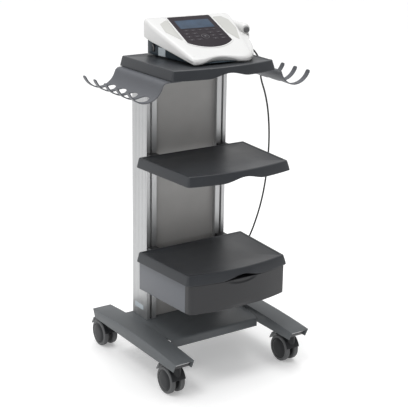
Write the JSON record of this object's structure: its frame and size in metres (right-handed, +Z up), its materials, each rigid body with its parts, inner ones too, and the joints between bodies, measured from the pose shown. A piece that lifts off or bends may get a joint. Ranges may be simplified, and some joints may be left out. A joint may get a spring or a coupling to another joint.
{
  "type": "ultrasound therapy device",
  "caption": "Ultrasound therapy console with applicator head on a wheeled trolley with shelves, drawer, side hook trays and lockable swivel castors.",
  "frame": {"origin": "on the floor at the centre of the footprint", "axes": "+X to the operator's right, front of the trolley towards -Y, +Z up"},
  "size_m": [0.571, 0.4765, 0.9512],
  "materials": {
    "base_paint": "satin powder coat",
    "fastener_steel": "zinc plated",
    "anodised_aluminium": "satin anodised",
    "panel_paint": "satin powder coat",
    "shelf_plastic": "fine grain moulding",
    "bracket_steel": "matte powder coat",
    "drawer_paint": "satin powder coat",
    "drawer_plastic": "fine grain moulding",
    "tray_paint": "satin powder coat",
    "console_dark": "fine grain moulding",
    "console_white": "satin moulding",
    "keypad_film": "printed film",
    "display": "clear window over a display",
    "board": "populated board",
    "rubber_black": "matte",
    "socket_plastic": "matte",
    "label_foil": "blank foil",
    "head_grey": "matte",
    "face_aluminium": "turned",
    "lead_rubber": "satin sheath",
    "castor_black": "moulded",
    "castor_tread": "smooth tread",
    "brake_grey": "moulded"
  },
  "bodies": {
    "trolley": {"left_leg": "base_paint", "right_leg": "base_paint", "base_plate": "base_paint", "column_bolts": "fastener_steel", "castor_stems": "fastener_steel", "left_extrusion": "anodised_aluminium", "right_extrusion": "anodised_aluminium", "column_panels": "panel_paint", "top_shelf": "shelf_plastic", "middle_shelf": "shelf_plastic", "lower_shelf": "shelf_plastic", "shelf_arms": "bracket_steel", "drawer_housing": "drawer_paint", "drawer_spacers": "fastener_steel", "drawer_rails": "fastener_steel", "left_hook_tray": "tray_paint", "right_hook_tray": "tray_paint", "hook_screws": "fastener_steel", "console_base": "console_dark", "console_shell": "console_white", "keypad": "keypad_film", "display_window": "display", "circuit_board": "board", "display_module": "board", "console_feet": "rubber_black", "mains_inlet": "socket_plastic", "head_socket": "socket_plastic", "rating_plate": "label_foil", "head_holder": "console_white", "head_grip": "console_white", "head_cap": "head_grey", "head_cup": "console_white", "treatment_face": "face_aluminium", "head_relief": "lead_rubber", "head_lead": "lead_rubber", "lead_plug": "socket_plastic"},
    "front_left_castor_swivel": {"front_left_castor_housing": "castor_black", "front_left_castor_axle": "fastener_steel"},
    "front_left_castor_wheels": {"front_left_castor_hubs": "castor_black", "front_left_castor_tyres": "castor_tread"},
    "front_left_castor_lever": {"front_left_castor_brake": "brake_grey"},
    "front_right_castor_swivel": {"front_right_castor_housing": "castor_black", "front_right_castor_axle": "fastener_steel"},
    "front_right_castor_wheels": {"front_right_castor_hubs": "castor_black", "front_right_castor_tyres": "castor_tread"},
    "front_right_castor_lever": {"front_right_castor_brake": "brake_grey"},
    "rear_left_castor_swivel": {"rear_left_castor_housing": "castor_black", "rear_left_castor_axle": "fastener_steel"},
    "rear_left_castor_wheels": {"rear_left_castor_hubs": "castor_black", "rear_left_castor_tyres": "castor_tread"},
    "rear_left_castor_lever": {"rear_left_castor_brake": "brake_grey"},
    "rear_right_castor_swivel": {"rear_right_castor_housing": "castor_black", "rear_right_castor_axle": "fastener_steel"},
    "rear_right_castor_wheels": {"rear_right_castor_hubs": "castor_black", "rear_right_castor_tyres": "castor_tread"},
    "rear_right_castor_lever": {"rear_right_castor_brake": "brake_grey"},
    "drawer": {"drawer_front": "drawer_plastic", "drawer_tray": "drawer_paint", "drawer_slides": "fastener_steel"},
    "switch": {"power_switch": "socket_plastic"}
  },
  "joints": [
    {"name": "front_left_castor_swivel_turn", "type": "hinge", "parent": "trolley", "child": "front_left_castor_swivel", "pos_m": [-0.1905, -0.19, 0.09], "axis": [0, 0, 1], "continuous": true},
    {"name": "front_left_castor_wheel_spin", "type": "hinge", "parent": "front_left_castor_swivel", "child": "front_left_castor_wheels", "pos_m": [-0.1905, -0.165, 0.0375], "axis": [1, 0, 0], "continuous": true},
    {"name": "front_left_castor_brake_press", "type": "hinge", "parent": "front_left_castor_swivel", "child": "front_left_castor_lever", "pos_m": [-0.1905, -0.142, 0.0769], "axis": [-1, 0, 0], "range_deg": [0, 8]},
    {"name": "front_right_castor_swivel_turn", "type": "hinge", "parent": "trolley", "child": "front_right_castor_swivel", "pos_m": [0.1905, -0.19, 0.09], "axis": [0, 0, 1], "continuous": true},
    {"name": "front_right_castor_wheel_spin", "type": "hinge", "parent": "front_right_castor_swivel", "child": "front_right_castor_wheels", "pos_m": [0.1905, -0.165, 0.0375], "axis": [1, 0, 0], "continuous": true},
    {"name": "front_right_castor_brake_press", "type": "hinge", "parent": "front_right_castor_swivel", "child": "front_right_castor_lever", "pos_m": [0.1905, -0.142, 0.0769], "axis": [-1, 0, 0], "range_deg": [0, 8]},
    {"name": "rear_left_castor_swivel_turn", "type": "hinge", "parent": "trolley", "child": "rear_left_castor_swivel", "pos_m": [-0.1905, 0.17, 0.09], "axis": [0, 0, 1], "continuous": true},
    {"name": "rear_left_castor_wheel_spin", "type": "hinge", "parent": "rear_left_castor_swivel", "child": "rear_left_castor_wheels", "pos_m": [-0.1905, 0.195, 0.0375], "axis": [1, 0, 0], "continuous": true},
    {"name": "rear_left_castor_brake_press", "type": "hinge", "parent": "rear_left_castor_swivel", "child": "rear_left_castor_lever", "pos_m": [-0.1905, 0.218, 0.0769], "axis": [-1, 0, 0], "range_deg": [0, 8]},
    {"name": "rear_right_castor_swivel_turn", "type": "hinge", "parent": "trolley", "child": "rear_right_castor_swivel", "pos_m": [0.1905, 0.17, 0.09], "axis": [0, 0, 1], "continuous": true},
    {"name": "rear_right_castor_wheel_spin", "type": "hinge", "parent": "rear_right_castor_swivel", "child": "rear_right_castor_wheels", "pos_m": [0.1905, 0.195, 0.0375], "axis": [1, 0, 0], "continuous": true},
    {"name": "rear_right_castor_brake_press", "type": "hinge", "parent": "rear_right_castor_swivel", "child": "rear_right_castor_lever", "pos_m": [0.1905, 0.218, 0.0769], "axis": [-1, 0, 0], "range_deg": [0, 8]},
    {"name": "drawer_slide", "type": "slide", "parent": "trolley", "child": "drawer", "axis": [0, -1, 0], "range_m": [0, 0.16]},
    {"name": "power_switch_rock", "type": "hinge", "parent": "trolley", "child": "switch", "pos_m": [-0.08224, 0.09329, 0.876], "axis": [0.0698, 0.9976, 0], "range_deg": [0, 9]}
  ]
}
